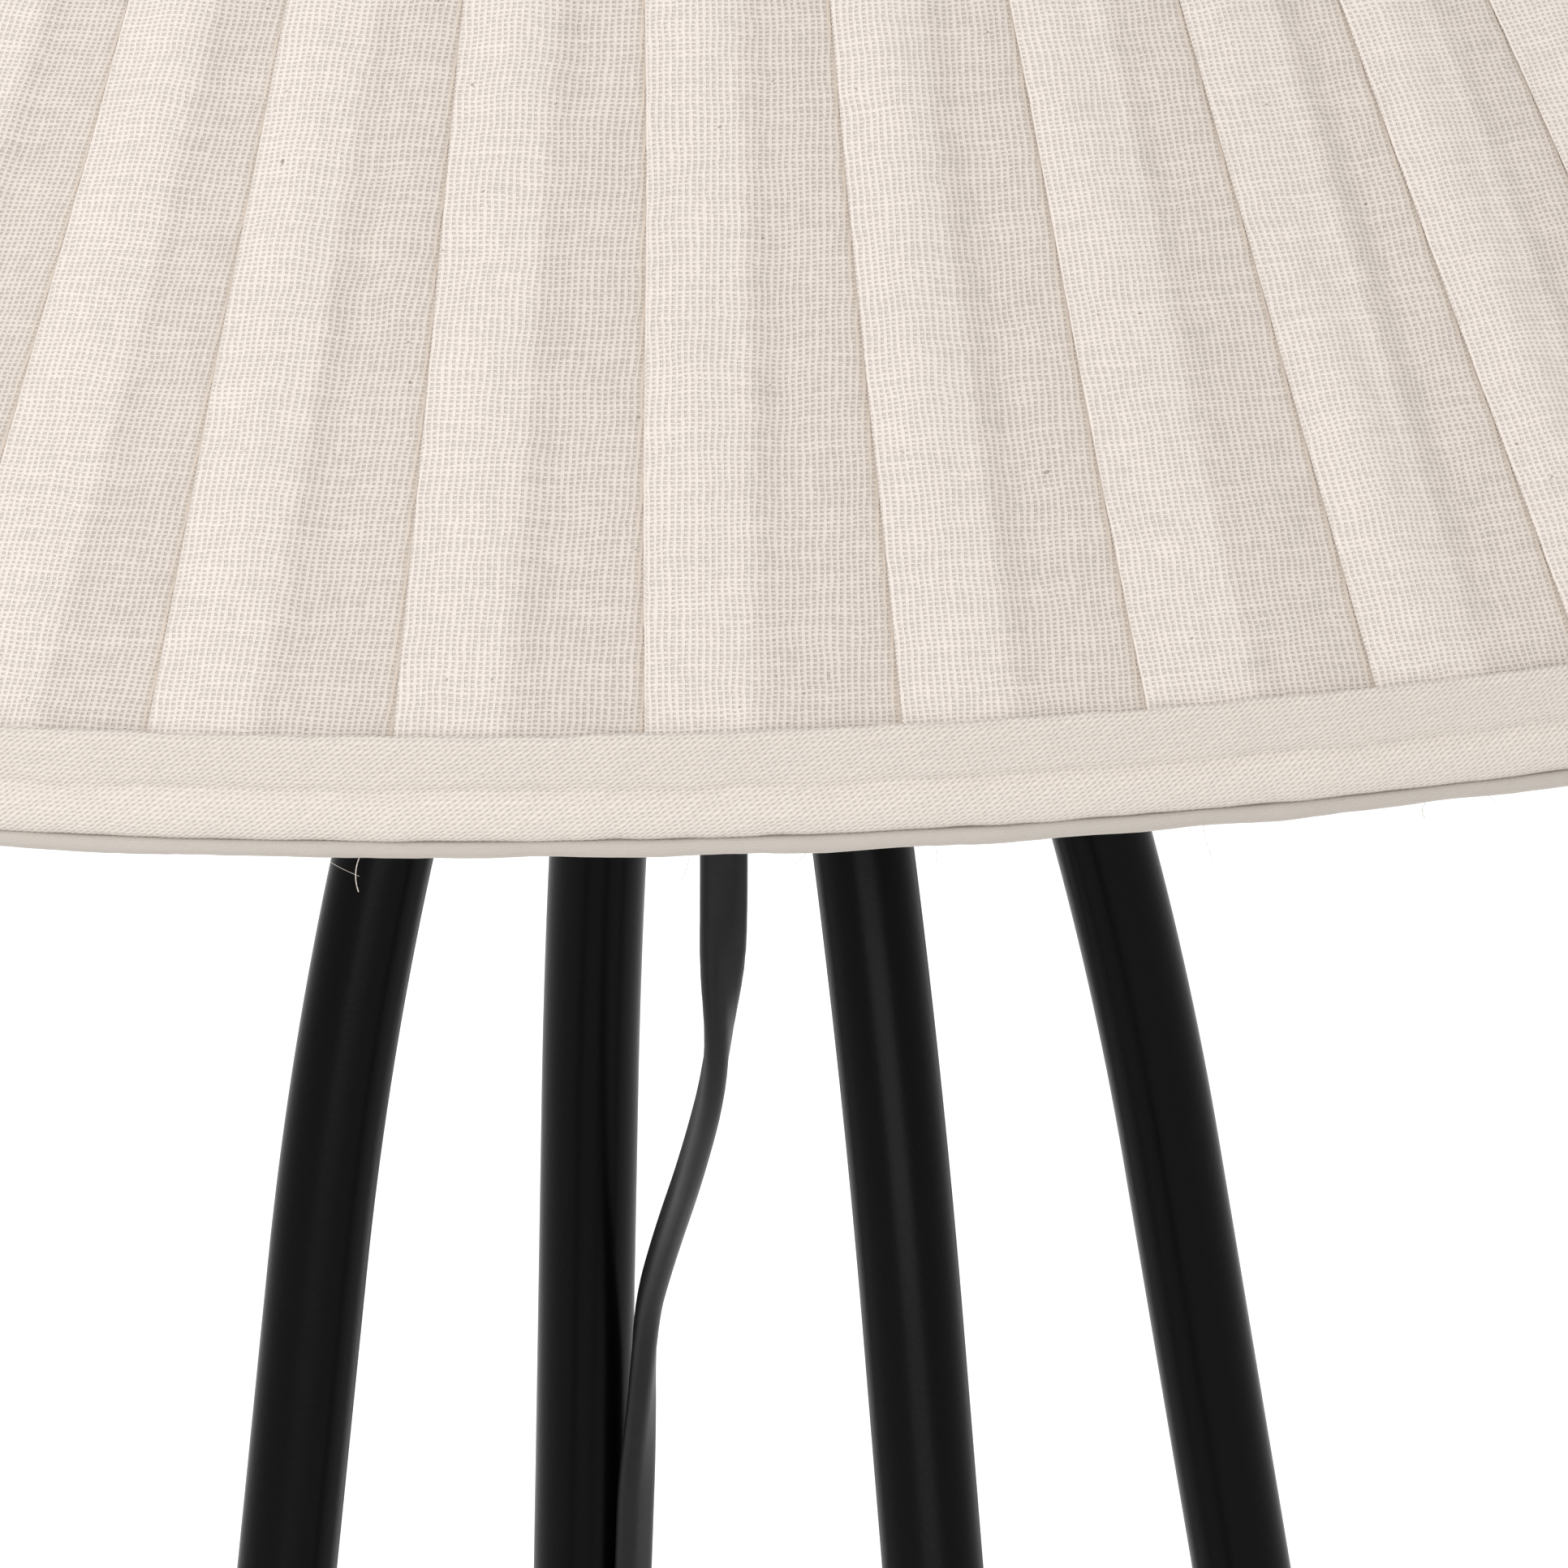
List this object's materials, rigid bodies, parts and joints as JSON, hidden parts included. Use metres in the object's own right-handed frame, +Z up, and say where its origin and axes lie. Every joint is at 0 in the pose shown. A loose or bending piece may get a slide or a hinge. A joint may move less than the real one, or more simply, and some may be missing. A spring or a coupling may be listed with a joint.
{
  "type": "floor lamp",
  "caption": "Floor lamp on splayed black tube legs, with a wide knife-pleated fabric cone shade, a screw bulb, a foot switch and a flat flex.",
  "frame": {"origin": "on the lamp's vertical axis at floor level", "axes": "+Z up along the lamp's axis; the legs stand on the diagonals of X and Y, and the leg that carries the flex is at -X, +Y"},
  "size_m": [0.5016, 0.5016, 1.5096],
  "materials": {
    "leg_paint": "satin black powder coat",
    "foot_rubber": "matt rubber",
    "holder_black": "satin moulded plastic",
    "bush_rubber": "soft black rubber",
    "porcelain": "glazed white ceramic",
    "zinc_steel": "zinc-plated steel",
    "nylon": "natural nylon",
    "brass": "bright brass",
    "spring_steel": "bright spring steel",
    "frame_wire": "white epoxy-coated wire",
    "shade_cloth": "open plain-weave cotton, knife pleated",
    "lining_cloth": "smooth cotton lining",
    "trim_tape": "twill tape",
    "bulb_shell": "white moulded plastic",
    "bulb_diffuser": "opal diffuser",
    "bulb_metal": "rolled aluminium",
    "bulb_insulation": "black glass-filled insulator",
    "flex_pvc": "satin black PVC flex",
    "tie_velcro": "black hook-and-loop strap",
    "switch_plastic": "fine-grained moulded plastic",
    "button_plastic": "satin moulded plastic",
    "plug_pvc": "moulded black PVC",
    "plug_metal": "nickel-plated brass"
  },
  "bodies": {
    "root": {"leg_back_right": "leg_paint", "leg_back_left": "leg_paint", "leg_front_left": "leg_paint", "leg_front_right": "leg_paint", "hub": "leg_paint", "foot_back_right": "foot_rubber", "foot_back_left": "foot_rubber", "foot_front_left": "foot_rubber", "foot_front_right": "foot_rubber", "lampholder_cap": "holder_black", "lampholder_skirt": "holder_black", "cord_clips": "holder_black", "cord_bush": "bush_rubber", "switch_inlet_grommet": "bush_rubber", "switch_outlet_grommet": "bush_rubber", "plug_relief": "bush_rubber", "lampholder_insert": "porcelain", "leg_set_screws": "zinc_steel", "hollow_nipple": "zinc_steel", "toothed_washer": "zinc_steel", "lock_nut": "zinc_steel", "terminal_screws": "zinc_steel", "switch_screws": "zinc_steel", "lampholder_lock_screw": "nylon", "centre_contact": "brass", "screw_shell": "brass", "switch_terminals": "brass", "switch_spring": "spring_steel", "cord_upper": "flex_pvc", "cord_lead": "flex_pvc", "cord_tail": "flex_pvc", "cord_inner": "flex_pvc", "cord_coil": "flex_pvc", "coil_tie": "tie_velcro", "switch_base": "switch_plastic", "switch_cover": "switch_plastic", "switch_mechanism": "switch_plastic", "plug_body": "plug_pvc", "plug_pins": "plug_metal"},
    "shade": {"shade_cover": "shade_cloth", "shade_lining": "lining_cloth", "hem_band": "trim_tape", "hem_under_strip": "lining_cloth", "top_band": "trim_tape", "top_ring": "frame_wire", "bottom_ring": "frame_wire", "frame_struts": "frame_wire", "fitter_arm_1": "frame_wire", "fitter_arm_2": "frame_wire", "fitter_arm_3": "frame_wire", "fitter_plate": "frame_wire"},
    "ring": {"shade_ring": "holder_black"},
    "bulb": {"bulb_end_contact": "bulb_metal", "bulb_insulator": "bulb_insulation", "bulb_screw_cap": "bulb_metal", "bulb_housing": "bulb_shell", "bulb_globe": "bulb_diffuser"},
    "button": {"switch_button": "button_plastic"}
  },
  "joints": [
    {"name": "shade_turn", "type": "hinge", "parent": "root", "child": "shade", "pos_m": [0, 0, 1.396], "axis": [0, 0, 1], "continuous": true},
    {"name": "ring_turn", "type": "hinge", "parent": "root", "child": "ring", "pos_m": [0, 0, 1.4], "axis": [0, 0, 1], "continuous": true},
    {"name": "bulb_turn", "type": "hinge", "parent": "root", "child": "bulb", "pos_m": [0, 0, 1.4], "axis": [0, 0, 1], "range_deg": [0, 1080]},
    {"name": "switch_press", "type": "slide", "parent": "root", "child": "button", "axis": [0, 0, -1], "range_m": [0, 0.003], "stiffness_N_per_m": 1500, "springref_m": -0.001, "deforming": ["switch_spring"]}
  ]
}
